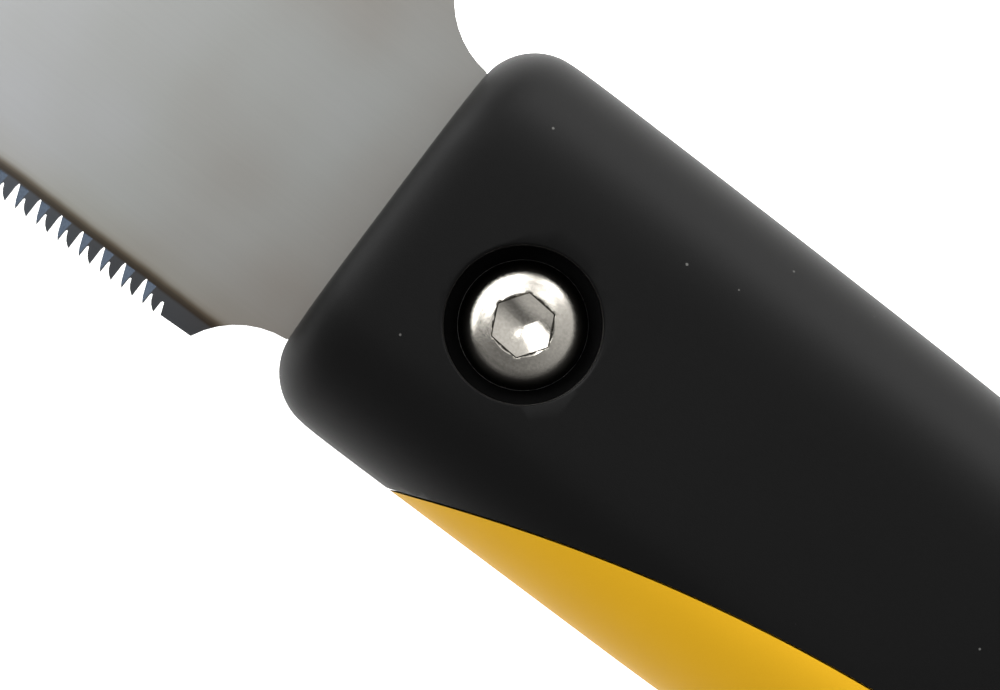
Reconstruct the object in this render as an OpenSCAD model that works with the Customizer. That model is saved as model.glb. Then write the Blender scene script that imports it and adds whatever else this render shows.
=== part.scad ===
// Pull-stroke drywall saw: a replaceable spring-steel blade clamped in a two-colour moulded handle.
// It lies on its left side, blade tip at -X, butt at +X, teeth at -Y, clamp screw head up.
// Inside place() the frame is the handle's own: s = 0 at the front face and growing to the butt,
// y = 0 on the blade's mid-line, z = 0 on the parting plane.

/* [Blade] */
// Length of the blade in front of the handle
blade_len = 215; // [150:1:270]
// Width of the blade at its heel
blade_w = 38.2; // [32:0.1:44]
// Thickness of the blade
blade_t = 0.7; // [0.5:0.05:1.2]
// Width of the blade where the nose slope starts
blade_tip_w = 26; // [18:0.5:32]
// Length of the sloping nose that pierces the board
nose_slope_len = 36; // [20:1:50]
// Rounding between the back of the blade and the nose slope
nose_round_r = 14; // [5:1:25]
// Distance between one deep gullet and the next, which is two teeth
tooth_pair_pitch = 2.25; // [1.8:0.05:4]
// Depth of the deep gullets
deep_gullet = 1.95; // [1:0.1:3]
// Depth of the shallow gullets
shallow_gullet = 1.2; // [0.6:0.05:2]
// Gap between the last tooth and the handle
tooth_stop = 10.5; // [9:0.5:20]
// Length of plain edge behind the point, before the first tooth
plain_point = 7; // [6:0.5:20]
// Radius of the two scallops that neck the blade down to its tang
scallop_r = 8.2; // [5:0.1:12]
// Distance of the scallop centres outside the blade's edges
scallop_out = 3.25; // [1:0.05:5]
// Distance of the scallop centres behind the front face
scallop_in = 0.7; // [0:0.1:2]
// Length of the tang inside the handle
tang_len = 27; // [22:0.5:34]

/* [Handle] */
// Length of the handle
handle_len = 168; // [150:1:220]
// Height of the handle's front end
front_h = 38; // [32:0.5:46]
// Thickness of the handle
handle_t = 26; // [24:0.5:34]
// Height of the waist where the fingers close
waist_h = 30; // [26:0.5:36]
// How far the hook at the butt reaches below the mid-line
hook_drop = 25; // [20:0.5:30]
// Rounding of the front end's corners, seen from the side
front_r = 6.8; // [4:0.1:9]
// Rounding of the front end across the thickness
front_r_z = 3.2; // [2:0.1:6]
// Rounding of the butt
butt_r = 14; // [8:0.5:16]
// Rounding of the butt across the thickness
butt_r_z = 9; // [5:0.5:11]
// Exponent of the cross-section's curve: 2 is an ellipse, more is squarer
section_power = 3; // [2:0.1:5]
// Thickness of the soft black skin
skin_t = 2.2; // [1.5:0.1:3]
// Radius of the line between black skin and yellow belly
belly_r = 150; // [100:5:250]
// Distance of that line's crest behind the front face
belly_crest_s = 73; // [60:1:90]
// Height of that line's crest above the handle's lower edge at the front
belly_crest_h = 11.7; // [6:0.1:14]

/* [Clamp] */
// Diameter of the clamp screw's thread
screw_d = 6; // [5:0.5:8]
// Distance of the clamp screw behind the front face
screw_s = 15.35; // [12:0.05:20]
// Distance of the clamp screw below the blade's mid-line
screw_drop = 1.2; // [-4:0.1:4]
// Diameter of the screw's button head
head_d = 11; // [9:0.5:14]
// Height of the button head
head_h = 3.3; // [2.5:0.1:4.5]
// Width across the flats of the hex socket
socket_w = 5; // [3:0.5:6]
// Depth of the hex socket's straight walls
socket_depth = 2; // [1.4:0.1:2.4]
// Thickness of the washer
washer_t = 1.6; // [1:0.1:2]
// Width across the flats of the nut
nut_w = 10; // [9:0.5:13]
// Thickness of the nut
nut_t = 5.2; // [4:0.1:6.5]
// Length of thread that stands out past the nut
thread_past_nut = 1.4; // [0.5:0.1:2]
// Diameter of the recesses over the screw head and the nut
recess_d = 13.4; // [12.5:0.1:17]

/* [Chassis] */
// Thickness of each steel liner
liner_t = 1.5; // [1:0.1:2.5]
// Distance of the liners behind the front face
liner_front = 4; // [3.5:0.1:6]
// Length of the liners
liner_len = 66; // [58:1:80]
// Length of the liners' broad part behind the tang
liner_backing = 14; // [11:0.5:18]
// Height of the liners' rear tongue
liner_tongue_h = 18; // [12:0.5:22]
// Rounding of the liners' corners
liner_corner_r = 3; // [1:0.5:5]
// Width of spacer left above and below the tang
spacer_rail = 1.2; // [0.8:0.1:1.6]
// Diameter of the chassis rivets
rivet_d = 4; // [3:0.5:5]

/* [Fasteners] */
// Diameter of the shell screws' shank
shell_screw_d = 3.2; // [2.5:0.1:4]
// Diameter of the shell screws' pan head
shell_head_d = 6.4; // [5:0.1:8]
// Height of the pan head
shell_head_h = 2.4; // [1.8:0.1:3]
// Length of the shank
shell_screw_len = 14.5; // [12:0.5:16]
// Depth of the shell screws' seats below the left face
shell_screw_seat = 7.5; // [6:0.5:8.5]
// Distance of the hindmost shell screw from the hook's lower edge
hook_screw_in = 10; // [9.5:0.5:12]
// Bore of the hanging eyelet
hang_bore_d = 8; // [6:0.5:9]
// Distance of the hanging eyelet from the butt
hang_from_butt = 17; // [16:0.5:24]
// Wall of the hanging eyelet
eyelet_wall = 0.8; // [0.5:0.1:1.2]
// Diameter of the eyelet's flanges
eyelet_flange_d = 13; // [12:0.5:14]

/* [Fits] */
// Clearance on each side of the blade in its channel
blade_gap = 0.05; // [0.02:0.01:0.1]
// Clearance between the screw and what it passes through
screw_gap = 0.3; // [0.1:0.05:0.5]
// Radial clearance of the running thread
thread_gap = 0.05; // [0.02:0.01:0.1]
// Clearance between parts that only drop into one another
seat_gap = 0.1; // [0.05:0.01:0.2]
// Clearance round the screw's head, and of the screw in the washer
head_gap = 0.2; // [0.1:0.05:0.3]
// Clearance of the blade in the handle's mouth
mouth_gap = 0.3; // [0.2:0.05:0.6]

/* [Hidden] */
$fn = 96;

yellow = "goldenrod";
black = "#262626";
steel = "silver";
over = 1; // how far a cutter runs past the surface that it cuts

half_t = handle_t / 2;
tang_w = blade_w - 2 * (scallop_r - scallop_out);
screw_y = -screw_drop;
slot_d = screw_d + 2 * screw_gap;
channel_t = blade_t + 2 * blade_gap;
liner_z = channel_t / 2;
chassis_z = liner_z + liner_t;
head_z = chassis_z + washer_t;
recess_wall = 1.2;
recess_floor = 1;
lining_lap = 0.66; // how far the recess's lining runs up into the skin
recess_top = half_t - skin_t + lining_lap;
nut_floor_z = chassis_z + nut_t;
channel_w = tang_w + 2 * seat_gap;
liner_front_h = channel_w + 2 * spacer_rail;
liner_front_len = tang_len - liner_front + liner_backing;
shell_screw_z = shell_screw_seat - half_t;
tip_room = 0.5; // depth of the shell screws' holes past their tips
hang_s = handle_len - hang_from_butt;
clamp_spot = [screw_s, screw_y];

// Centre lines of the handle's outline: [distance behind the front face, y, slope].
hook_s = handle_len - butt_r;
waist_s = handle_len * 0.55;
top_line = [[0, front_h / 2, -0.012],
            [50, front_h / 2 - 0.9, -0.03],
            [waist_s + 15, waist_h / 2 - 0.3, 0],
            [handle_len, waist_h / 2 + 2, 0.05]];
bottom_line = [[0, -front_h / 2, 0],
               [42, -front_h / 2, 0],
               [waist_s, -waist_h / 2 - 0.2, 0],
               [hook_s, -hook_drop, 0],
               [handle_len, 2 - hook_drop, 0.1]];

// The shell screws, rivets and eyelet, as [s, y].
front_screw_s = tang_len + 7;
front_screw_y = 9;
tongue_screw_s = liner_front + liner_len - 9;
waist_screw_s = handle_len * 0.7;
hook_screw_s = hang_s - 6;
shell_screw_spots = [[front_screw_s, front_screw_y],
                     [front_screw_s, -front_screw_y],
                     [tongue_screw_s, 0],
                     [waist_screw_s, center_y(waist_screw_s)],
                     [hook_screw_s, hook_screw_in - hook_drop]];
hang_spot = [hang_s, center_y(hang_s)];
tongue_rivet_s = tang_len + 19.5;
tongue_rivet_y = 4.5;
rivet_spots = [[tang_len + 4.5, 0], [tongue_rivet_s, tongue_rivet_y], [tongue_rivet_s, -tongue_rivet_y]];

// Pockets between the bosses, which keep the walls of the moulding even.
pocket_h = 11;
pocket_z = half_t - 6.5;
pocket_wall = 3.2;
eyelet_wall_s = 1; // wall between the hindmost pocket and the eyelet's flange
least_pocket = 4; // no pocket is shorter than this

heel_step = 0.5; // the blade's lower edge rises by this much from the last gullet to the handle
tang_ease = 0.05; // how far the tang's edges lie inside the scallops' deepest points

// Overall box, which puts the origin under its middle.
y_high = max(blade_w, front_h) / 2;
y_low = -hook_drop;
front_x = (blade_len - handle_len) / 2;
lift_y = -(y_high + y_low) / 2;

module place() {
    translate([front_x, lift_y, half_t]) children();
}

// Value at s of the smooth line through stations of [s, value, slope].
function line_at(line, s) =
    let (i = max([for (k = [0:len(line) - 2]) if (line[k][0] <= max(s, 0)) k]),
         a = line[i],
         b = line[i + 1],
         span = b[0] - a[0],
         t = (s - a[0]) / span)
    a[1] * (1 + 2 * t) * (1 - t) ^ 2 + b[1] * t ^ 2 * (3 - 2 * t)
    + span * (a[2] * t * (1 - t) ^ 2 - b[2] * t ^ 2 * (1 - t));

function center_y(s) = (line_at(top_line, s) + line_at(bottom_line, s)) / 2;

// How far a corner of radius r takes the outline in, at a distance d from the end.
function corner_in(r, d) = d >= r ? 0 : r - sqrt(max(0, r ^ 2 - (r - d) ^ 2));

function signed_power(value, power) = sign(value) * abs(value) ^ power;

// ---- Handle body, as one half of a loft along s ----

corner_steps = 3;
mid_steps = 12;
ring_steps = 11; // odd, so that a flat facet lies uppermost
flat_scale = cos(90 / ring_steps) ^ (2 / section_power);

// Places of the loft's sections, closer together in the rounded ends.
function section_places(inset) =
    let (r_a = front_r - inset,
         r_b = butt_r - inset,
         from = inset + r_a,
         to = handle_len - inset - r_b,
         ahead = [for (k = [0:corner_steps]) inset + r_a * (1 - cos(90 * k / corner_steps))],
         run = [for (k = [1:mid_steps]) from + (to - from) * k / mid_steps],
         behind = [for (k = [1:corner_steps]) to + r_b * sin(90 * k / corner_steps)])
    concat(ahead, run, behind);

function section(s, inset, dip) =
    let (ahead = s - inset,
         behind = handle_len - inset - s,
         in_y = inset + corner_in(front_r - inset, ahead) + corner_in(butt_r - inset, behind),
         in_z = inset + corner_in(front_r_z - inset, ahead) + corner_in(butt_r_z - inset, behind),
         top = line_at(top_line, s) - in_y,
         bottom = line_at(bottom_line, s) + in_y,
         arch = [for (k = [0:ring_steps])
             let (a = 180 * k / ring_steps,
                  across = signed_power(cos(a), 2 / section_power),
                  up = signed_power(sin(a), 2 / section_power) / flat_scale)
             [s, (top + bottom) / 2 + (top - bottom) / 2 * across, (half_t - in_z) * min(up, 1)]])
    concat([[s, top, -dip]], arch, [[s, bottom, -dip]]);

// The handle's solid above the parting plane, taken in by inset all round.
// It runs on by dip below that plane, to be cut off there.
module half_body(inset, dip) {
    rows = [for (s = section_places(inset)) section(s, inset, dip)];
    n = len(rows[0]);
    last = len(rows) - 1;
    sides = [for (i = [0:last - 1], k = [0:n - 1])
        let (a = i * n + k,
             b = i * n + (k + 1) % n,
             c = b + n,
             d = a + n)
        each [[a, c, b], [a, d, c]]];
    ends = [for (k = [1:n - 2]) each [[0, k, k + 1], [last * n, last * n + k + 1, last * n + k]]];
    polyhedron(points = [for (row = rows) each row], faces = concat(sides, ends), convexity = 4);
}

// The space under the colour line, where the yellow core comes out to the surface.
module belly_zone() {
    translate([belly_crest_s, belly_crest_h - front_h / 2 - belly_r, -3 * over])
        cylinder(r = belly_r, h = half_t + 4 * over, $fn = 192);
}

module post(spot, d, z_from, z_to) {
    translate([spot.x, spot.y, z_from]) cylinder(d = d, h = z_to - z_from);
}

module hex_post(spot, w, z_from, z_to) {
    translate([spot.x, spot.y, z_from]) cylinder(d = w / cos(30), h = z_to - z_from, $fn = 6);
}

module box(low, high) {
    translate(low) cube(high - low);
}

module rounded_plate(s_from, s_to, h, r, z_from, z_to) {
    box([s_from + r, -h / 2, z_from], [s_to - r, h / 2, z_to]);
    box([s_from, -h / 2 + r, z_from], [s_to, h / 2 - r, z_to]);
    for (s = [s_from + r, s_to - r], y = [-h / 2 + r, h / 2 - r])
        post([s, y], 2 * r, z_from, z_to);
}

// The liners' outline as a plate: a broad front part and a narrower tongue.
module chassis_plate(grow, z_from, z_to) {
    union() {
        rounded_plate(liner_front - grow, liner_front + liner_front_len + grow,
                      liner_front_h + 2 * grow, liner_corner_r, z_from, z_to);
        rounded_plate(liner_front + liner_corner_r, liner_front + liner_len + grow,
                      liner_tongue_h + 2 * grow, liner_corner_r, z_from, z_to);
    }
}

// The gap that the blade passes on its way in.
module mouth() {
    box([-over, -tang_w / 2 - mouth_gap, -blade_t / 2 - mouth_gap],
        [liner_front + over, tang_w / 2 + mouth_gap, blade_t / 2 + mouth_gap]);
}

module pockets() {
    boss = shell_screw_d + 2 * pocket_wall;
    starts = [liner_front + liner_len + pocket_wall, shell_screw_spots[3].x + boss / 2];
    ends = [shell_screw_spots[3].x - boss / 2, hang_s - eyelet_flange_d / 2 - eyelet_wall_s];
    for (k = [0, 1])
        if (ends[k] - starts[k] > least_pocket)
            box([starts[k], center_y(ends[k]) - pocket_h / 2, -over],
                [ends[k], center_y(ends[k]) + pocket_h / 2, pocket_z]);
}

// ---- Handle pieces ----

module below_parting() {
    box([-over, -2 * front_h, -half_t], [handle_len + over, 2 * front_h, 0]);
}

module core_half() {
    difference() {
        union() {
            half_body(skin_t, over);
            intersection() {
                half_body(0, 2 * over);
                belly_zone();
            }
        }
        below_parting();
        chassis_plate(seat_gap, -over, chassis_z + seat_gap);
        mouth();
        pockets();
        post(hang_spot, hang_bore_d + 2 * eyelet_wall + 2 * seat_gap, -over, half_t + over);
    }
}

module skin_half() {
    difference() {
        half_body(0, over);
        half_body(skin_t, 2 * over);
        belly_zone();
        below_parting();
        mouth();
        post(hang_spot, eyelet_flange_d + 2 * seat_gap, half_t - skin_t - over, half_t + over);
    }
}

module shell_right() {
    color(yellow) place() difference() {
        core_half();
        post(clamp_spot, recess_d + 2 * recess_wall, 0, half_t + over);
        for (spot = shell_screw_spots)
            post(spot, shell_screw_d + 2 * thread_gap, -over, shell_screw_z + shell_screw_len + tip_room);
    }
}

module shell_left() {
    color(yellow) place() difference() {
        mirror([0, 0, 1]) core_half();
        hex_post(clamp_spot, nut_w + seat_gap, -nut_floor_z, 0);
        post(clamp_spot, recess_d + 2 * recess_wall, -half_t - over, -nut_floor_z);
        for (spot = shell_screw_spots) {
            post(spot, shell_screw_d + 2 * seat_gap, -half_t - over, over);
            post(spot, shell_head_d + 2 * seat_gap, -half_t - over, shell_screw_z);
        }
    }
}

module grip_right() {
    color(black) place() {
        difference() {
            union() {
                skin_half();
                post(clamp_spot, recess_d + 2 * recess_wall, chassis_z + seat_gap, recess_top);
            }
            post(clamp_spot, recess_d, chassis_z + seat_gap + recess_floor, half_t + over);
            post(clamp_spot, head_d + 2 * head_gap, 0, half_t);
        }
    }
}

module grip_left() {
    color(black) place() {
        difference() {
            union() {
                mirror([0, 0, 1]) skin_half();
                post(clamp_spot, recess_d + 2 * recess_wall, -recess_top, -nut_floor_z);
            }
            post(clamp_spot, recess_d, -half_t - over, 0);
            for (spot = shell_screw_spots)
                post(spot, shell_head_d + 2 * seat_gap, -half_t - over, 0);
        }
    }
}

// ---- Chassis ----

module chassis_holes(z_from, z_to) {
    for (spot = rivet_spots)
        post(spot, rivet_d, z_from, z_to);
    for (spot = shell_screw_spots)
        post(spot, shell_screw_d + 2 * seat_gap, z_from, z_to);
}

module liner(side) {
    z_low = side > 0 ? liner_z : -chassis_z;
    color(steel) place() difference() {
        chassis_plate(0, z_low, z_low + liner_t);
        post(clamp_spot, slot_d, z_low - over, z_low + liner_t + over);
        chassis_holes(z_low - over, z_low + liner_t + over);
    }
}

module liner_right() {
    liner(1);
}

module liner_left() {
    liner(-1);
}

module liner_spacer() {
    color(steel) place() difference() {
        chassis_plate(0, -liner_z, liner_z);
        box([0, -channel_w / 2, -liner_z - over], [tang_len + seat_gap, channel_w / 2, liner_z + over]);
        chassis_holes(-liner_z - over, liner_z + over);
    }
}

module chassis_rivet(k) {
    color(steel) place() post(rivet_spots[k], rivet_d, -chassis_z, chassis_z);
}

module shell_screw(k) {
    spot = shell_screw_spots[k];
    cross_w = shell_head_d / 6;
    cross_len = shell_head_d - shell_head_h;
    color(steel) place() difference() {
        union() {
            post(spot, shell_screw_d, shell_screw_z, shell_screw_z + shell_screw_len);
            post(spot, shell_head_d, shell_screw_z - shell_head_h, shell_screw_z);
        }
        for (turn = [0, 90])
            translate([spot.x, spot.y, shell_screw_z - shell_head_h]) rotate(turn)
                cube([cross_len, cross_w, shell_head_h], center = true);
    }
}

module hang_eyelet() {
    lip = 0.3;
    color(steel) place() difference() {
        union() {
            post(hang_spot, hang_bore_d + 2 * eyelet_wall, -half_t + lip, half_t - lip);
            for (side = [0, 1])
                mirror([0, 0, side])
                    post(hang_spot, eyelet_flange_d, half_t - skin_t, half_t - lip);
        }
        post(hang_spot, hang_bore_d, -half_t, half_t);
    }
}

// ---- Clamp ----

module clamp_screw() {
    rim_h = 0.4;
    dome_h = head_h - rim_h;
    dome_r = (head_d ^ 2 / 4 + dome_h ^ 2) / (2 * dome_h);
    screw_len = washer_t + 2 * chassis_z + nut_t + thread_past_nut;
    point_h = socket_w / 2 * tan(30);
    color(steel) place() translate([0, 0, head_z]) difference() {
        union() {
            intersection() {
                translate([screw_s, screw_y, head_h - dome_r]) sphere(r = dome_r);
                post(clamp_spot, head_d, 0, head_h);
            }
            post(clamp_spot, screw_d, -screw_len, 1);
        }
        hex_post(clamp_spot, socket_w, head_h - socket_depth, head_h + over);
        translate([screw_s, screw_y, head_h - socket_depth - point_h])
            cylinder(d1 = 0, d2 = socket_w, h = point_h);
    }
}

module clamp_washer() {
    color(steel) place() difference() {
        post(clamp_spot, head_d, chassis_z, head_z);
        post(clamp_spot, screw_d + 2 * head_gap, chassis_z - over, head_z + over);
    }
}

module clamp_nut() {
    color(steel) place() difference() {
        hex_post(clamp_spot, nut_w, -nut_floor_z, -chassis_z);
        post(clamp_spot, screw_d + 2 * thread_gap, -nut_floor_z - over, -chassis_z + over);
    }
}

// ---- Blade ----

// One pair of pull teeth from its front tip, as [share of the pitch, share of the deep gullet].
// The steep faces look at the handle, and the backs have a second slope near the tip.
shallow_share = shallow_gullet / deep_gullet;
tooth_pair = [[0, 0], [0.01, 0.8], [0.05, 0.98], [0.1, 0.98], [0.2, 0.68], [0.32, 0.32], [0.42, 0.11],
              [0.5, 0], [0.515, 0.85 * shallow_share], [0.55, shallow_share],
              [0.6, 0.96 * shallow_share], [0.68, 0.6 * shallow_share], [0.78, 0.33 * shallow_share],
              [0.9, 0.13 * shallow_share]];

// The gullet between the last tooth and the heel, as [share of the pitch, share of the shallow gullet].
last_gullet = [[0, 0], [0.015, 0.85], [0.05, 1], [0.13, 0.98], [0.3, 0.13]];

back_slope = (blade_w - blade_tip_w) / (blade_len - nose_slope_len - scallop_r);
nose_corner = [nose_slope_len - blade_len, blade_tip_w - blade_w / 2];
nose_tip = [-blade_len, -blade_w / 2];

// Arc that rounds the corner between the blade's back and its nose slope.
function corner_arc(before, corner, after, r, steps) =
    let (a = (before - corner) / norm(before - corner),
         b = (after - corner) / norm(after - corner),
         half = acos(a * b) / 2,
         mid = (a + b) / norm(a + b),
         centre = corner + mid * r / sin(half),
         from = corner + a * r / tan(half) - centre,
         to = corner + b * r / tan(half) - centre,
         a0 = atan2(from.y, from.x),
         turn = atan2(from.x * to.y - from.y * to.x, from * to))
    [for (k = [0:steps]) centre + r * [cos(a0 + turn * k / steps), sin(a0 + turn * k / steps)]];

module blade_outline() {
    pairs = floor((blade_len - tooth_stop - plain_point) / tooth_pair_pitch);
    last_tip = -tooth_stop;
    first_tip = last_tip - pairs * tooth_pair_pitch;
    teeth = [for (i = [0:pairs - 1], p = tooth_pair)
        [first_tip + (i + p[0]) * tooth_pair_pitch, p[1] * deep_gullet - blade_w / 2]];
    back_heel = [-scallop_r, blade_w / 2];
    polygon(concat([nose_tip],
                   teeth,
                   [for (p = last_gullet) [last_tip + p[0] * tooth_pair_pitch,
                                           p[1] * shallow_gullet - blade_w / 2]],
                   [[0, heel_step - blade_w / 2], [0, blade_w / 2], back_heel],
                   corner_arc(back_heel, nose_corner, nose_tip, nose_round_r, 12)));
}

module blade() {
    color(steel) place() translate([0, 0, -blade_t / 2]) linear_extrude(blade_t) difference() {
        union() {
            blade_outline();
            translate([-over, tang_ease - tang_w / 2])
                square([tang_len + over, tang_w - 2 * tang_ease]);
        }
        for (side = [-1, 1])
            translate([scallop_in, side * (blade_w / 2 + scallop_out)]) circle(r = scallop_r);
        translate([screw_s, screw_y]) circle(d = slot_d);
        translate([screw_s, screw_y - slot_d / 2]) square([tang_len, slot_d]);
    }
}

blade();
clamp_screw();
clamp_washer();
clamp_nut();
liner_right();
liner_left();
liner_spacer();
chassis_rivet(0);  // chassis_rivet_1
chassis_rivet(1);  // chassis_rivet_2
chassis_rivet(2);  // chassis_rivet_3
shell_right();
shell_left();
grip_right();
grip_left();
shell_screw(0);  // shell_screw_1
shell_screw(1);  // shell_screw_2
shell_screw(2);  // shell_screw_3
shell_screw(3);  // shell_screw_4
shell_screw(4);  // shell_screw_5
hang_eyelet();
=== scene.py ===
"""Drywall saw: smooth, detailed pieces and finishes over the CAD frame."""
import math
import bpy
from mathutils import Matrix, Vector


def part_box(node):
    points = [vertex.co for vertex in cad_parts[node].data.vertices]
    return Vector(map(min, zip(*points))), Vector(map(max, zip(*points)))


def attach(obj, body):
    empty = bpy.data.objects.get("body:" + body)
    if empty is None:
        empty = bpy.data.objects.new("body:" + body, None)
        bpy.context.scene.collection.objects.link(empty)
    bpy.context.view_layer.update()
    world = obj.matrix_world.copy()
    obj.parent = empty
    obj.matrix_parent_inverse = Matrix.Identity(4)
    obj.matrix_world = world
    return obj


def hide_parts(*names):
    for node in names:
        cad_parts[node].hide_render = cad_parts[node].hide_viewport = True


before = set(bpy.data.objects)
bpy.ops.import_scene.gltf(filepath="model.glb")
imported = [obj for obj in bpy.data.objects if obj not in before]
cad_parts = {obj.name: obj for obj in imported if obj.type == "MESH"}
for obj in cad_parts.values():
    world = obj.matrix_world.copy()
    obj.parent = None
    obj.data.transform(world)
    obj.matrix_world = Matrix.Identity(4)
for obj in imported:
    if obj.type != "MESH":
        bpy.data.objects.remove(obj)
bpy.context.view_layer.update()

MM = 0.001

# ---- Sizes and places, in millimetres ----

def box_of(node):
    """Lowest and highest corner of a CAD node."""
    return [Vector(corner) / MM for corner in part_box(node)]


handle_low, handle_high = box_of("grip_right")
blade_low, blade_high = box_of("blade")
screw_low, screw_high = box_of("clamp_screw")
eyelet_low, eyelet_high = box_of("hang_eyelet")

front_x = handle_low.x
handle_len = handle_high.x - handle_low.x
part_z = handle_low.z
half_t = handle_high.z - part_z
mid_y = (blade_low.y + blade_high.y) / 2
screw_x = (screw_low.x + screw_high.x) / 2
screw_y = (screw_low.y + screw_high.y) / 2
eyelet_x = (eyelet_low.x + eyelet_high.x) / 2
eyelet_y = (eyelet_low.y + eyelet_high.y) / 2

front_h = 38.0
waist_h = 30.0
hook_drop = 25.0
# Less than the CAD's corner, because subdivision rounds this one further.
front_r = 5.7
front_r_z = 3.2
butt_r = 14.0
butt_r_z = 9.0
edge_round = 11.6
skin_t = 2.2
# The line between the colours is an arc, with its crest this far behind the front face and up.
belly_r = 150.0
belly_crest_s = 73.0
belly_crest_h = 11.7
seam = 0.16

# The well over the clamp screw, and the ledge at its bottom that the head sits through.
recess_r = 6.7
lining_wall = 1.2
ledge_t = 1.0
head_hole_r = 5.56
# The slot for the blade in the front face.
mouth_w = 28.9
mouth_t = 1.3
mouth_depth = 6.0
eyelet_tube_r = 4.8
eyelet_flange_r = 6.5
# The room round a part that is let in, and how far a cutter passes the surface it cuts.
fit = 0.1
past = 2.0

# The teeth come in pairs, from this far before the handle to this far behind the blade's point.
tooth_pair = 2.25
tooth_stop = 10.5
point_stop = 7.0
tooth_pairs = int((front_x - blade_low.x - tooth_stop - point_stop) // tooth_pair)
# How far the clamp screw's hex socket is turned, in degrees.
key_turn = -25.3

waist_s = handle_len * 0.55
hook_s = handle_len - butt_r
# Outline lines of [distance behind the front face, height from the mid-line, slope].
top_line = [(0, front_h / 2, -0.012), (50, front_h / 2 - 0.9, -0.03),
            (waist_s + 15, waist_h / 2 - 0.3, 0), (handle_len, waist_h / 2 + 2, 0.05)]
bottom_line = [(0, -front_h / 2, 0), (42, -front_h / 2, 0), (waist_s, -waist_h / 2 - 0.2, 0),
               (hook_s, -hook_drop, 0), (handle_len, 2 - hook_drop, 0.1)]


def line_at(line, s):
    """Height at s of the smooth line through the stations."""
    i = max(k for k in range(len(line) - 1) if line[k][0] <= max(s, 0))
    (s0, y0, slope0), (s1, y1, slope1) = line[i], line[i + 1]
    t = (s - s0) / (s1 - s0)
    ends = y0 * (1 + 2 * t) * (1 - t) ** 2 + y1 * t * t * (3 - 2 * t)
    return ends + (s1 - s0) * (slope0 * t * (1 - t) ** 2 - slope1 * t * t * (1 - t))


def corner_in(r, d):
    """How far a corner of radius r takes an outline in, at a distance d from the end."""
    return 0 if d >= r else r - math.sqrt(max(0, r * r - (r - d) ** 2))


# ---- Modelling tools ----

def take(piece):
    """Leaves piece as the only thing selected, in object mode."""
    if bpy.context.object and bpy.context.object.mode != "OBJECT":
        bpy.ops.object.mode_set(mode="OBJECT")
    bpy.ops.object.select_all(action="DESELECT")
    piece.select_set(True)
    bpy.context.view_layer.objects.active = piece


def start(name):
    """Names the primitive just added and puts its place into its mesh."""
    piece = bpy.context.object
    piece.name = piece.data.name = name
    take(piece)
    bpy.ops.object.transform_apply(location=True, rotation=True, scale=True)
    return piece


def fresh():
    """Object mode with nothing selected, ready for a new primitive."""
    if bpy.context.object and bpy.context.object.mode != "OBJECT":
        bpy.ops.object.mode_set(mode="OBJECT")
    bpy.ops.object.select_all(action="DESELECT")


def edit(piece, kind="FACE", chosen=None):
    """Opens piece in edit mode with the faces, edges or vertices that chosen() picks."""
    take(piece)
    bpy.ops.object.mode_set(mode="EDIT")
    bpy.context.tool_settings.mesh_select_mode = [kind == "VERT", kind == "EDGE", kind == "FACE"]
    bpy.ops.mesh.select_all(action="DESELECT" if chosen else "SELECT")
    if not chosen:
        return
    bpy.ops.object.mode_set(mode="OBJECT")
    mesh = piece.data
    if kind == "FACE":
        for face in mesh.polygons:
            face.select = chosen(face.center / MM, face.normal)
    elif kind == "EDGE":
        for edge in mesh.edges:
            a, b = (mesh.vertices[v].co / MM for v in edge.vertices)
            edge.select = chosen(a, b)
    else:
        for vert in mesh.vertices:
            vert.select = chosen(vert.co / MM)
    bpy.ops.object.mode_set(mode="EDIT")


def close(piece):
    """Back to object mode with outward normals."""
    bpy.ops.mesh.select_all(action="SELECT")
    bpy.ops.mesh.remove_doubles(threshold=0.001 * MM)
    bpy.ops.mesh.normals_make_consistent(inside=False)
    bpy.ops.object.mode_set(mode="OBJECT")
    return piece


def disc(name, x, y, z_from, z_to, r, sides=96):
    """A round or polygonal bar along Z."""
    fresh()
    bpy.ops.mesh.primitive_cylinder_add(vertices=sides, radius=r * MM, depth=(z_to - z_from) * MM,
                                        location=(x * MM, y * MM, (z_from + z_to) / 2 * MM))
    return start(name)


def block(name, low, high):
    """A square bar between two corners."""
    fresh()
    low, high = Vector(low), Vector(high)
    bpy.ops.mesh.primitive_cube_add(size=1, location=(low + high) / 2 * MM, scale=(high - low) * MM)
    return start(name)


def grow(steps, x, y):
    """Extrudes the chosen top face up in steps of (rise, radius factor)."""
    for rise, factor in steps:
        bpy.ops.mesh.extrude_region_move(TRANSFORM_OT_translate={"value": (0, 0, rise * MM)})
        bpy.ops.transform.resize(value=(factor, factor, 1), center_override=(x * MM, y * MM, 0))


def copy_of(piece, name):
    """A second piece with its own mesh."""
    twin = piece.copy()
    twin.data = piece.data.copy()
    twin.name = twin.data.name = name
    bpy.context.collection.objects.link(twin)
    return twin


def apply(piece, kind, **settings):
    """Adds a modifier and applies it."""
    take(piece)
    modifier = piece.modifiers.new(kind.title(), kind)
    for name, value in settings.items():
        setattr(modifier, name, value)
    bpy.ops.object.modifier_apply(modifier=modifier.name)


def carve(piece, cutter, operation="DIFFERENCE", keep=False):
    """Cuts piece with cutter, or joins them, and uses the cutter up unless it is kept."""
    apply(piece, "BOOLEAN", object=cutter, operation=operation, solver="EXACT")
    if not keep:
        bpy.data.objects.remove(cutter)


def smooth(piece, angle):
    """Smooth shading across edges flatter than angle in degrees."""
    take(piece)
    bpy.ops.object.shade_smooth_by_angle(angle=math.radians(angle))


# ---- Finishes ----

def colour(code):
    """Linear RGBA from an sRGB hex code."""
    parts = [int(code[i:i + 2], 16) / 255 for i in (1, 3, 5)]
    return [p / 12.92 if p <= 0.04045 else ((p + 0.055) / 1.055) ** 2.4 for p in parts] + [1]


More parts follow.
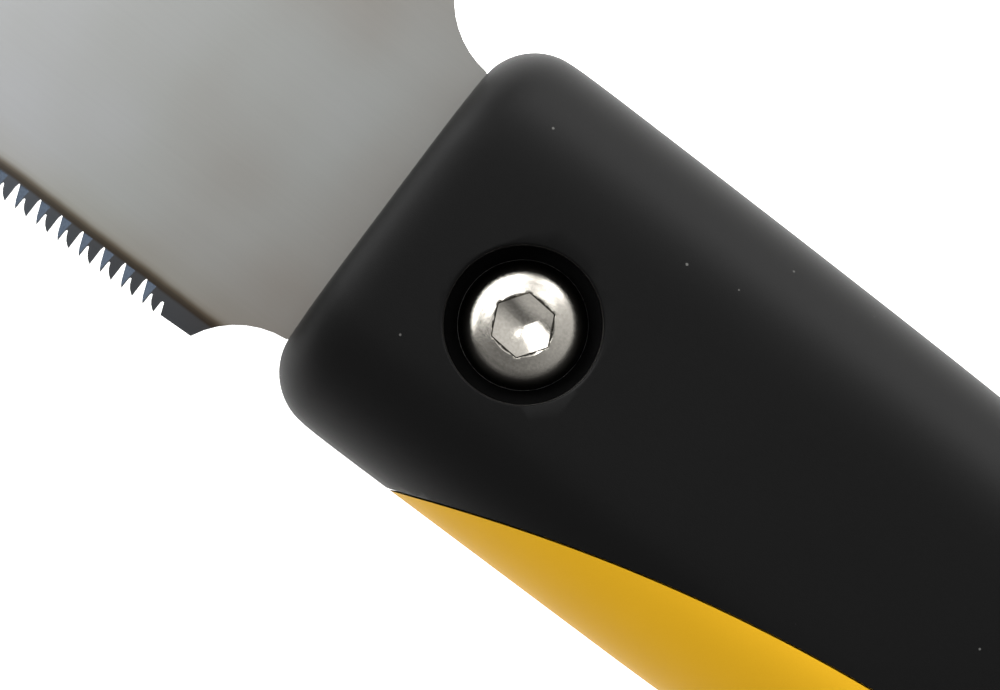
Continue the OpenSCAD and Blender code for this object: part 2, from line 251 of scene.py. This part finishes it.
def put(tree, kind, inputs=None, stops=None, **settings):
    """Adds a node; an input takes a value or another node's output."""
    node = tree.nodes.new("ShaderNode" + kind)
    for name, value in settings.items():
        setattr(node, name, value)
    for name, value in (inputs or {}).items():
        if isinstance(value, bpy.types.NodeSocket):
            tree.links.new(value, node.inputs[name])
        else:
            node.inputs[name].default_value = value
    if stops:
        ramp = node.color_ramp.elements
        while len(ramp) < len(stops):
            ramp.new(0.5)
        for element, (place, code) in zip(ramp, stops):
            element.position = place
            element.color = colour(code)
    return node


def material(name, **shader):
    """A new material with a plain Principled shader; returns it, its tree and the shader node."""
    made = bpy.data.materials.new(name)
    made.use_nodes = True
    tree = made.node_tree
    surface = tree.nodes["Principled BSDF"]
    for socket, value in shader.items():
        surface.inputs[socket.replace("_", " ")].default_value = value
    return made, tree, surface


def grains(mm):
    """Scale of a pattern whose grains are this many millimetres across."""
    return 1 / (mm * MM)


def spring_steel():
    """Belt-polished spring steel: a soft grey, and a blue-black band hardened along the teeth, whose edge
    fades through brown in a little over a millimetre. Towards the handle the grey is painted a little darker
    and warmer: painted shade that stands in for the light falling off there, laid over faint random clouds of
    stain. The belt's lines are drawn coarser than real, so that they show."""
    made, tree, surface = material("belt polished spring steel", Metallic=1.0, Roughness=0.34)
    band_mm, wander_mm, cloud_mm, painted_shade_mm = 6.0, 5.56, 25.0, 60.0
    streak_len_mm, streak_mm = 25.0, 1 / 3
    place = put(tree, "TexCoord").outputs["Object"]
    spread = put(tree, "SeparateXYZ", {"Vector": place})
    drift = put(tree, "TexNoise", {"Vector": place, "Scale": grains(wander_mm), "Detail": 3.0})
    wander = put(tree, "MapRange", {"Value": drift.outputs["Fac"], "To Min": -0.25 * MM, "To Max": 0.25 * MM})
    lifted = put(tree, "Math", {0: spread.outputs["Y"], 1: wander.outputs["Result"]}, operation="ADD")
    share = put(tree, "MapRange", {"Value": lifted.outputs[0], "From Min": blade_low.y * MM,
                                   "From Max": (blade_low.y + band_mm) * MM})
    band = put(tree, "ValToRGB", {"Fac": share.outputs["Result"]},
               stops=[(0.0, "#33363b"), (0.3, "#34363a"), (0.34, "#2a2622"), (0.39, "#332f2a"),
                      (0.43, "#48433c"), (0.49, "#686764"), (0.56, "#6e6e6d"), (1.0, "#707172")])
    stretch = (grains(streak_len_mm), grains(streak_mm), 1.0)
    streaks = put(tree, "Mapping", {"Vector": place, "Scale": stretch})
    grain = put(tree, "TexNoise", {"Vector": streaks.outputs["Vector"], "Scale": 1.0, "Detail": 4.0})
    clouds = put(tree, "TexNoise", {"Vector": place, "Scale": grains(cloud_mm), "Detail": 2.0})
    # Painted shade: the grey darkens and warms towards the handle, standing in for the light falling off
    # there.
    painted_shade = put(tree, "MapRange", {"Value": spread.outputs["X"], "From Min": (front_x - painted_shade_mm) * MM,
                                     "From Max": front_x * MM, "To Min": -0.3, "To Max": 0.2})
    # Random clouds of stain plus the painted shade towards the handle.
    clouds_and_painted_shade = put(tree, "Math", {0: clouds.outputs["Fac"], 1: painted_shade.outputs["Result"]}, operation="ADD")
    # Tint from the stain clouds and from the painted shade towards the handle.
    stain_and_painted_shade = put(tree, "ValToRGB", {"Fac": clouds_and_painted_shade.outputs[0]},
                stops=[(0.3, "#ffffff"), (0.55, "#f4f4ee"), (0.8, "#e4dcd2")])
    shade = put(tree, "MapRange", {"Value": grain.outputs["Fac"], "To Min": 0.96, "To Max": 1.03})
    tinted = put(tree, "VectorMath", {0: band.outputs["Color"], 1: stain_and_painted_shade.outputs["Color"]},
                 operation="MULTIPLY")
    streaked = put(tree, "VectorMath", {0: tinted.outputs[0], "Scale": shade.outputs["Result"]},
                   operation="SCALE")
    rough = put(tree, "MapRange", {"Value": grain.outputs["Fac"], "To Min": 0.32, "To Max": 0.38})
    tree.links.new(streaked.outputs[0], surface.inputs["Base Color"])
    tree.links.new(rough.outputs["Result"], surface.inputs["Roughness"])
    return made


def metal(name, dark, light, roughness, grain_mm, depth_mm):
    """Plated, ground or rolled metal with a fine mottle, drawn coarser than real, so that it shows."""
    made, tree, surface = material(name, Metallic=1.0, Roughness=roughness)
    place = put(tree, "TexCoord").outputs["Object"]
    mottle = put(tree, "TexNoise", {"Vector": place, "Scale": grains(grain_mm), "Detail": 3.0})
    tone = put(tree, "ValToRGB", {"Fac": mottle.outputs["Fac"]}, stops=[(0.25, dark), (0.8, light)])
    rough = put(tree, "MapRange", {"Value": mottle.outputs["Fac"], "To Min": roughness * 0.8,
                                   "To Max": roughness * 1.25})
    dents = put(tree, "Bump", {"Height": mottle.outputs["Fac"], "Strength": 0.3, "Distance": depth_mm * MM})
    tree.links.new(tone.outputs["Color"], surface.inputs["Base Color"])
    tree.links.new(rough.outputs["Result"], surface.inputs["Roughness"])
    tree.links.new(dents.outputs["Normal"], surface.inputs["Normal"])
    return made


def moulding(name, dark, light, roughness, grain_mm, depth_mm, specular, dust=None):
    """A matte moulded plastic with spark-eroded grain, and sparse specks of dust if it holds them."""
    flow_mm, speck_mm = 16.7, 2.6
    made, tree, surface = material(name, Roughness=roughness, Specular_IOR_Level=specular)
    place = put(tree, "TexCoord").outputs["Object"]
    grain = put(tree, "TexNoise", {"Vector": place, "Scale": grains(grain_mm), "Detail": 4.0})
    flow = put(tree, "TexNoise", {"Vector": place, "Scale": grains(flow_mm), "Detail": 2.0})
    both = put(tree, "Math", {0: grain.outputs["Fac"], 1: flow.outputs["Fac"]}, operation="ADD")
    fac = put(tree, "MapRange", {"Value": both.outputs[0], "From Min": 0.6, "From Max": 1.4})
    tone = put(tree, "ValToRGB", {"Fac": fac.outputs["Result"]}, stops=[(0.0, dark), (1.0, light)])
    rough = put(tree, "MapRange", {"Value": grain.outputs["Fac"], "To Min": roughness - 0.05,
                                   "To Max": roughness + 0.05})
    dents = put(tree, "Bump", {"Height": grain.outputs["Fac"], "Strength": 0.5, "Distance": depth_mm * MM})
    if dust:
        specks = put(tree, "TexVoronoi", {"Vector": place, "Scale": grains(speck_mm)})
        sparse = put(tree, "SeparateColor", {"Color": specks.outputs["Color"]})
        size = put(tree, "MapRange", {"Value": sparse.outputs["Red"], "From Min": 0.6, "From Max": 1.0,
                                      "To Min": 0.0, "To Max": 0.055})
        lies = put(tree, "Math", {0: specks.outputs["Distance"], 1: size.outputs["Result"]},
                   operation="LESS_THAN")
        dusted = put(tree, "ValToRGB", {"Fac": lies.outputs[0]}, stops=[(0.0, "#000000"), (1.0, dust)])
        tone = put(tree, "VectorMath", {0: tone.outputs["Color"], 1: dusted.outputs["Color"]},
                   operation="ADD")
    tree.links.new(tone.outputs[0], surface.inputs["Base Color"])
    tree.links.new(rough.outputs["Result"], surface.inputs["Roughness"])
    tree.links.new(dents.outputs["Normal"], surface.inputs["Normal"])
    return made


def wear(piece, finish):
    """Gives piece one finish all over."""
    piece.data.materials.clear()
    piece.data.materials.append(finish)


# Grey with a dark band along the teeth, a broad soft shine, and painted shade towards the handle.
steel_blade = spring_steel()
# Ground flanks of the hardened teeth: dark and bluish, a little lighter than the band.
ground_steel = metal("ground tooth steel", "#22272e", "#2c323a", 0.3, 0.2, 0.005)
# Slightly warm, with the sharpest highlights of the saw's metals.
nickel = metal("satin nickel plate", "#a29e96", "#b2aea6", 0.16, 0.25, 0.01)
# Cooler and paler than the nickel, with a broader shine.
zinc = metal("bright zinc plate", "#bec0c2", "#caccce", 0.32, 0.3, 0.01)
# Dull grey blanked strip inside the handle.
strip = metal("cold rolled steel strip", "#a0a09e", "#b0b0ae", 0.4, 0.4, 0.01)
# Near black with a wide dim sheen on the rounded edges and a few pale specks of dust.
soft_black = moulding("black elastomer moulding", "#040404", "#060606", 0.52, 0.12, 0.02, 0.06,
                      dust="#3c3c3a")
# Warm flat yellow with almost no shine.
hard_yellow = moulding("yellow nylon moulding", "#a47c10", "#aa8214", 0.55, 0.1, 0.02, 0.06)


# ---- Handle ----

def station(s, inset):
    """Top, bottom and half thickness of the handle at s, taken in by inset.

    The swell makes up for what subdivision takes off the rounded edges.
    """
    swell = 0.2
    ahead, behind = s - inset, handle_len - inset - s
    in_y = inset + corner_in(front_r - inset, ahead) + corner_in(butt_r - inset, behind)
    in_z = inset + corner_in(front_r_z - inset, ahead) + corner_in(butt_r_z - inset, behind)
    return line_at(top_line, s) - in_y + swell, line_at(bottom_line, s) + in_y - swell, half_t - in_z


def handle_blank(name, inset):
    """The handle's whole solid, drawn out section by section from its front face."""
    r_a, r_b = front_r - inset, butt_r - inset
    begin, end = inset + r_a, handle_len - inset - r_b
    corner = 5
    run = 20
    places = [inset + r_a * (1 - math.cos(math.pi / 2 * k / corner)) for k in range(corner + 1)]
    places += [begin + (end - begin) * k / run for k in range(1, run + 1)]
    places += [end + r_b * math.sin(math.pi / 2 * k / corner) for k in range(1, corner + 1)]

    fresh()
    bpy.ops.mesh.primitive_plane_add(size=1, rotation=(0, math.pi / 2, 0))
    blank = start(name)
    full_h, full_t = front_h - 2 * inset, 2 * (half_t - inset)
    edit(blank)
    bpy.ops.transform.resize(value=(1, full_h * MM, full_t * MM), center_override=(0, 0, 0))
    bpy.ops.mesh.bevel(offset=(edge_round - inset / 2) * MM, segments=7, profile=0.52, affect="VERTICES")
    bpy.ops.mesh.select_all(action="SELECT")
    bpy.ops.transform.translate(value=((front_x + places[0]) * MM, mid_y * MM, part_z * MM))
    height, thick, centre, last = full_h, full_t, 0.0, places[0]
    for k, s in enumerate(places):
        top, bottom, half = station(s, inset)
        if k:
            move = ((s - last) * MM, ((top + bottom) / 2 - centre) * MM, 0)
            bpy.ops.mesh.extrude_region_move(TRANSFORM_OT_translate={"value": move})
        else:
            bpy.ops.transform.translate(value=(0, ((top + bottom) / 2 - centre) * MM, 0))
        centre = (top + bottom) / 2
        bpy.ops.transform.resize(value=(1, (top - bottom) / height, 2 * half / thick),
                                 center_override=((front_x + s) * MM, (mid_y + centre) * MM, part_z * MM))
        height, thick, last = top - bottom, 2 * half, s
    close(blank)
    apply(blank, "SUBSURF", levels=2, render_levels=2)
    return blank


def belly_bar(name, shrink):
    """The upright cylinder whose outline is the line between the two colours."""
    return disc(name, front_x + belly_crest_s, mid_y + belly_crest_h - front_h / 2 - belly_r,
                part_z - half_t - past, part_z + half_t + past, belly_r - shrink, sides=720)


def recess_bar(name, floor_z):
    """Cutter for the recess over the screw, with a rounded lip at the handle's face."""
    lip = 0.35
    turns = 5
    bar = disc(name, screw_x, screw_y, floor_z, part_z + half_t - lip, recess_r)
    edit(bar, "FACE", lambda c, n: n.z > 0.9)
    radius, rise, steps = recess_r, 0.0, []
    for k in range(1, turns + 1):
        a = math.pi / 2 * k / turns
        wider, up = recess_r + lip * (1 - math.cos(a)), lip * math.sin(a)
        steps.append((up - rise, wider / radius))
        radius, rise = wider, up
    grow(steps + [(past, 1.0)], screw_x, screw_y)
    return close(bar)


def flip(tool):
    """Turns a tool made for the right side over to the left."""
    edit(tool)
    bpy.ops.transform.resize(value=(1, 1, -1), center_override=(0, 0, part_z * MM))
    return close(tool)


def half_of(piece, name, side):
    """The right (+1) or left (-1) half of a piece that was made whole."""
    gap = 0.04  # so that a thin line shows where the halves meet
    half = copy_of(piece, name)
    other = block("other_half", (front_x - past, mid_y - front_h, part_z - half_t - past),
                  (front_x + handle_len + past, mid_y + front_h, part_z + gap))
    carve(half, other if side > 0 else flip(other))
    return half


def well_tools(side):
    """Tools for the well over the screw (right, +1) or over the nut (left, -1).

    The skin's lining, its bed in the core, the hole down to the head or nut, the recess, and the
    space of the steel chassis.
    """
    face = part_z + half_t
    middle = part_z - 1
    lining_r = recess_r + lining_wall
    lining_top = face - 0.7 * skin_t
    liner_low, liner_high = box_of("liner_right")
    if side > 0:
        floor_z, recess_floor, hole_r = liner_high.z + fit, ledge_t, head_hole_r
    else:
        floor_z, recess_floor, hole_r = 2 * part_z - box_of("clamp_nut")[0].z, -0.5, recess_r - 0.5
    tools = [disc("lining", screw_x, screw_y, floor_z, lining_top, lining_r),
             disc("bed", screw_x, screw_y, floor_z, face + past, lining_r),
             disc("hole", screw_x, screw_y, middle, face, hole_r),
             recess_bar("recess", floor_z + recess_floor),
             block("chassis", (liner_low.x - fit, liner_low.y - fit, middle),
                   (liner_high.x + fit, liner_high.y + fit, liner_high.z + fit))]
    return tools if side > 0 else [flip(tool) for tool in tools]


def screw_wells(half):
    """Wells on the left for the heads of the screws that join the halves."""
    well_r, head_h = 3.3, 2.4
    for k in range(1, 6):
        low, high = box_of(f"shell_screw_{k}")
        carve(half, disc("well", (low.x + high.x) / 2, (low.y + high.y) / 2,
                         part_z - half_t - past, low.z + head_h, well_r, sides=48))


def handle_pieces():
    """Cuts one smooth handle into core and skin along the belly line, and each into its halves."""
    outer = handle_blank("handle_outer", 0)
    inner = handle_blank("handle_inner", skin_t)
    core = copy_of(outer, "core")
    carve(core, belly_bar("belly_core", seam / 2), "INTERSECT")
    carve(core, inner, "UNION", keep=True)
    skin = copy_of(outer, "skin")
    carve(skin, inner)
    carve(skin, belly_bar("belly_skin", -seam / 2))
    bpy.data.objects.remove(outer)
    core_way_r, core_way_h = 5.7, 8.0
    for side, word in ((1, "right"), (-1, "left")):
        grip = half_of(skin, f"grip_{word}_moulding", side)
        shell = half_of(core, f"shell_{word}_moulding", side)
        lining, bed, hole, recess, chassis = well_tools(side)
        carve(shell, bed)
        carve(shell, chassis)
        carve(shell, disc("way", screw_x, screw_y, part_z - core_way_h, part_z + core_way_h, core_way_r))
        carve(grip, lining, "UNION")
        carve(grip, hole)
        carve(grip, recess)
        for half, eye_r in ((grip, eyelet_flange_r + fit), (shell, eyelet_tube_r + fit)):
            carve(half, block("mouth", (front_x - past, mid_y - mouth_w / 2, part_z - mouth_t / 2),
                              (front_x + mouth_depth, mid_y + mouth_w / 2, part_z + mouth_t / 2)))
            carve(half, disc("eye", eyelet_x, eyelet_y, part_z - half_t - past, part_z + half_t + past,
                             eye_r))
            if side < 0:
                screw_wells(half)
            smooth(half, 35)
            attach(half, "handle")
        wear(grip, soft_black)
        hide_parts(f"grip_{word}")
        wear(shell, hard_yellow)
        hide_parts(f"shell_{word}")
    bpy.data.objects.remove(core)
    bpy.data.objects.remove(skin)


# ---- Clamp screw ----

def head_profile(head_r, head_h):
    """Points (radius, height over the straight rim) of a rounded shoulder and a low crown, and the rim."""
    crown_r, shoulder_r, tilt = 26.0, 1.3, 9
    turns = [math.radians(a) for a in range(13, 79, 13)]
    shoulder = [(head_r - shoulder_r * (1 - math.cos(a)), shoulder_r * math.sin(a)) for a in turns]
    shoulder_top = shoulder_r * math.cos(math.radians(tilt))
    crown_edge_r = shoulder[-1][0]
    rings = 6
    crown = []
    for k in range(1, rings):
        r = crown_edge_r * (1 - k / rings)
        rise = math.cos(math.asin(r / crown_r)) - math.cos(math.radians(tilt))
        crown.append((r, shoulder_top + crown_r * rise))
    return shoulder + crown, head_h - crown[-1][1]


def key_socket(screw, top):
    """Cuts the chamfered hex socket, with the drill's shallow point at its floor."""
    key_r = 2.5
    corner_r = key_r / math.cos(math.pi / 6)
    depth, point_drop, point_factor = 2.3, 0.4, 0.05
    chamfer_r, chamfer_depth, chamfer_factor = key_r - 0.05, 0.25, 2.15
    centre = (screw_x * MM, screw_y * MM, 0)
    chamfer = disc("chamfer", screw_x, screw_y, top - chamfer_depth, top + 1, chamfer_r, sides=96)
    edit(chamfer, "FACE", lambda c, n: n.z > 0.9)
    bpy.ops.transform.resize(value=(chamfer_factor, chamfer_factor, 1), center_override=centre)
    close(chamfer)
    carve(screw, chamfer)
    socket = disc("socket", screw_x, screw_y, top - depth, top + 1, corner_r, sides=6)
    edit(socket)
    bpy.ops.transform.rotate(value=math.radians(key_turn), orient_axis="Z", center_override=centre)
    close(socket)
    edit(socket, "FACE", lambda c, n: n.z < -0.9)
    bpy.ops.mesh.extrude_region_move(TRANSFORM_OT_translate={"value": (0, 0, -point_drop * MM)})
    bpy.ops.transform.resize(value=(point_factor, point_factor, 1), center_override=centre)
    close(socket)
    apply(socket, "BEVEL", width=0.12 * MM, segments=2, limit_method="ANGLE", angle_limit=math.radians(50))
    carve(screw, socket)


def clamp_screw():
    """M6 screw: a turned head with a low crown, a hex socket and a plain shank with a chamfered tip."""
    head_r, head_h, shank_r = 5.5, 3.3, 3.0
    tip_chamfer, tip_factor = 0.5, 0.86
    seat_h = 3.5  # the washer's top over the middle of the handle
    under = part_z + seat_h
    profile, rim = head_profile(head_r, head_h)
    screw = disc("clamp_screw_turned", screw_x, screw_y, under, under + rim, head_r, sides=128)
    edit(screw, "FACE", lambda c, n: n.z > 0.9)
    ends = [(head_r, 0.0)] + profile
    grow([(up - up0, r / r0) for (r0, up0), (r, up) in zip(ends, profile)], screw_x, screw_y)
    close(screw)
    edit(screw, "FACE", lambda c, n: n.z < -0.9)
    bpy.ops.mesh.inset(thickness=(head_r - shank_r) * MM)
    shank = (screw_low.z + tip_chamfer - under) * MM
    bpy.ops.mesh.extrude_region_move(TRANSFORM_OT_translate={"value": (0, 0, shank)})
    bpy.ops.mesh.extrude_region_move(TRANSFORM_OT_translate={"value": (0, 0, -tip_chamfer * MM)})
    bpy.ops.transform.resize(value=(tip_factor, tip_factor, 1),
                             center_override=(screw_x * MM, screw_y * MM, 0))
    close(screw)
    key_socket(screw, under + rim + profile[-1][1])
    apply(screw, "BEVEL", width=0.06 * MM, segments=2, limit_method="ANGLE", angle_limit=math.radians(35))
    smooth(screw, 25)
    wear(screw, nickel)
    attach(screw, "clamp_screw")
    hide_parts("clamp_screw")


# ---- Blade ----

def bevel_stone(tip_x, side):
    """Cutter that grinds one flank of a tooth to a slope, its foot at the tooth's root."""
    face_z = blade_high.z if side > 0 else 2 * part_z - blade_low.z
    foot = blade_low.y
    lap, width, reach = 0.06, 0.95, 1.9
    edge_drop, lean = 0.3, 0.25
    stone = block("stone", (tip_x - lap, foot - 0.5, face_z), (tip_x + width, foot + reach, face_z + 1))
    edit(stone, "VERT", lambda v: v.x < tip_x + 0.1 and v.z < face_z + 0.1)
    bpy.ops.transform.translate(value=(0, 0, -edge_drop * MM))
    close(stone)
    edit(stone, "VERT", lambda v: v.y > foot + 1)
    bpy.ops.transform.translate(value=(lean * MM, 0, 0))
    close(stone)
    return stone if side > 0 else flip(stone)


def blade():
    """The cut strip, with its teeth ground to bevels: every second flank from each side."""
    ground = copy_of(bpy.data.objects["blade"], "blade_ground")
    edit(ground)
    close(ground)
    wear(ground, steel_blade)
    first_x = front_x - tooth_stop - tooth_pairs * tooth_pair
    for side, shift in ((1, 0.0), (-1, 0.5)):
        stone = bevel_stone(first_x + shift * tooth_pair, side)
        wear(stone, ground_steel)
        apply(stone, "ARRAY", count=tooth_pairs, use_relative_offset=False,
              use_constant_offset=True, constant_offset_displace=(tooth_pair * MM, 0, 0))
        apply(ground, "BOOLEAN", object=stone, operation="DIFFERENCE", solver="EXACT",
              material_mode="TRANSFER")
        bpy.data.objects.remove(stone)
    smooth(ground, 12)
    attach(ground, "blade")
    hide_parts("blade")


# ---- Eyelet ----

def hang_eyelet():
    """Rolled eyelet: a tube whose ends turn outwards into rounded flanges that dress the skin's hole."""
    bore_r, flange_t, roll_r, inner_r = 4.0, 1.9, 1.0, 0.7
    turns = [math.radians(a) for a in range(0, 91, 15)]
    low, high = eyelet_low.z, eyelet_high.z
    profile = [(eyelet_flange_r - roll_r + roll_r * math.sin(a), low + roll_r * (1 - math.cos(a)))
               for a in turns]
    profile += [(eyelet_flange_r, low + flange_t), (eyelet_tube_r, low + flange_t)]
    profile += [(r, high + low - z) for r, z in reversed(profile)]
    first_r, last_r = profile[0][0], profile[1][0]
    eyelet = disc("hang_eyelet_rolled", eyelet_x, eyelet_y, low, profile[1][1], first_r)
    edit(eyelet, "FACE", lambda c, n: n.z > 0.9)
    bpy.ops.transform.resize(value=(last_r / first_r, last_r / first_r, 1),
                             center_override=(eyelet_x * MM, eyelet_y * MM, 0))
    grow([(z - z0, r / r0) for (r0, z0), (r, z) in zip(profile[1:], profile[2:])], eyelet_x, eyelet_y)
    close(eyelet)
    carve(eyelet, disc("bore", eyelet_x, eyelet_y, low - 1, high + 1, bore_r))
    edit(eyelet, "EDGE", lambda a, b: abs((a - Vector((eyelet_x, eyelet_y, a.z))).length - bore_r) < 0.02
         and abs(a.z - b.z) < 0.01)
    bpy.ops.mesh.bevel(offset=inner_r * MM, segments=5)
    close(eyelet)
    smooth(eyelet, 35)
    wear(eyelet, zinc)
    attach(eyelet, "handle")
    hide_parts("hang_eyelet")


def plain_nodes():
    """Finishes for the CAD nodes that keep their own shape."""
    for node in ["clamp_washer", "clamp_nut"] + [f"shell_screw_{k}" for k in range(1, 6)]:
        wear(bpy.data.objects[node], zinc)
    for node in ["liner_right", "liner_left", "liner_spacer"] + [f"chassis_rivet_{k}" for k in range(1, 4)]:
        wear(bpy.data.objects[node], strip)


plain_nodes()
handle_pieces()
clamp_screw()
blade()
hang_eyelet()


# ---- Floor, camera and lights ----

def paper_floor():
    """A white paper that glows a little, so that no shadow shows on it."""
    fresh()
    bpy.ops.mesh.primitive_plane_add(size=4, location=(0, 0, -0.0005))
    floor = bpy.context.object
    floor.name = "floor"
    paper = material("pale paper", Roughness=0.9, Base_Color=colour("#f4f4f2"),
                     Emission_Color=colour("#ffffff"), Emission_Strength=0.9)[0]
    wear(floor, paper)


def overhead_camera():
    """A long lens straight above the handle's front, rolled so that the blade points up to the left."""
    roll = math.radians(36.8)
    view_w, lens, sensor = 84.75, 300.0, 36.0
    aim = Vector((front_x + 14.8, mid_y - 3.7, part_z + 2.0))
    place = aim + Vector((0, 0, view_w * lens / sensor))
    bpy.ops.object.camera_add(location=place * MM, rotation=(0, 0, roll))
    camera = bpy.context.object
    camera.data.lens = lens
    camera.data.sensor_width = sensor
    camera.data.clip_start = 0.01
    camera.data.clip_end = 20
    bpy.context.scene.camera = camera


def softbox(name, place, aim, size, power):
    """A rectangular lamp, in metres and watts."""
    lamp = bpy.data.lights.new(name, "AREA")
    lamp.shape = "RECTANGLE"
    lamp.size, lamp.size_y = size
    lamp.energy = power
    box = bpy.data.objects.new(name, lamp)
    bpy.context.collection.objects.link(box)
    box.location = place
    box.rotation_euler = (Vector(aim) - Vector(place)).to_track_quat("-Z", "Y").to_euler()


def studio_tent():
    """White all round, brighter on the side of the blade's back, with a dark gap beside the top
    on the teeth's side that gives the bare metal its contrast."""
    world = bpy.data.worlds.new("studio")
    world.use_nodes = True
    tent = world.node_tree
    toward = put(tent, "SeparateXYZ", {"Vector": put(tent, "TexCoord").outputs["Generated"]})
    share = put(tent, "MapRange", {"Value": toward.outputs["Y"], "From Min": -1.0, "From Max": 1.0})
    panels = put(tent, "ValToRGB", {"Fac": share.outputs["Result"]},
                 stops=[(0.0, "#e8e8e8"), (0.25, "#d8d8d8"), (0.36, "#606060"), (0.5, "#c0c0c0"),
                        (0.64, "#ffffff"), (1.0, "#ffffff")])
    background = tent.nodes["Background"]
    tent.links.new(panels.outputs["Color"], background.inputs["Color"])
    background.inputs["Strength"].default_value = 1.35
    bpy.context.scene.world = world


paper_floor()
overhead_camera()
# Sheen along the handle's back edge.
softbox("back_edge", (0.15, 0.6, 0.22), (0.05, 0, 0.02), (0.7, 0.3), 9)
# Makes the blade brighter towards its point.
softbox("point_side", (-0.22, 0.05, 0.34), (-0.06, 0, 0.01), (0.24, 0.4), 1.8)
# Sheen on the handle's front corners.
softbox("front_edge", (-0.5, 0.1, 0.12), (0.03, 0, 0.01), (0.3, 0.4), 6)
# A small bright spot in the clamp screw's socket.
softbox("socket_glint", (screw_x * MM + 0.008, 0.13, 0.42), (screw_x * MM, 0, 0.02), (0.06, 0.06), 0.06)
studio_tent()
bpy.context.scene.view_settings.view_transform = "Standard"
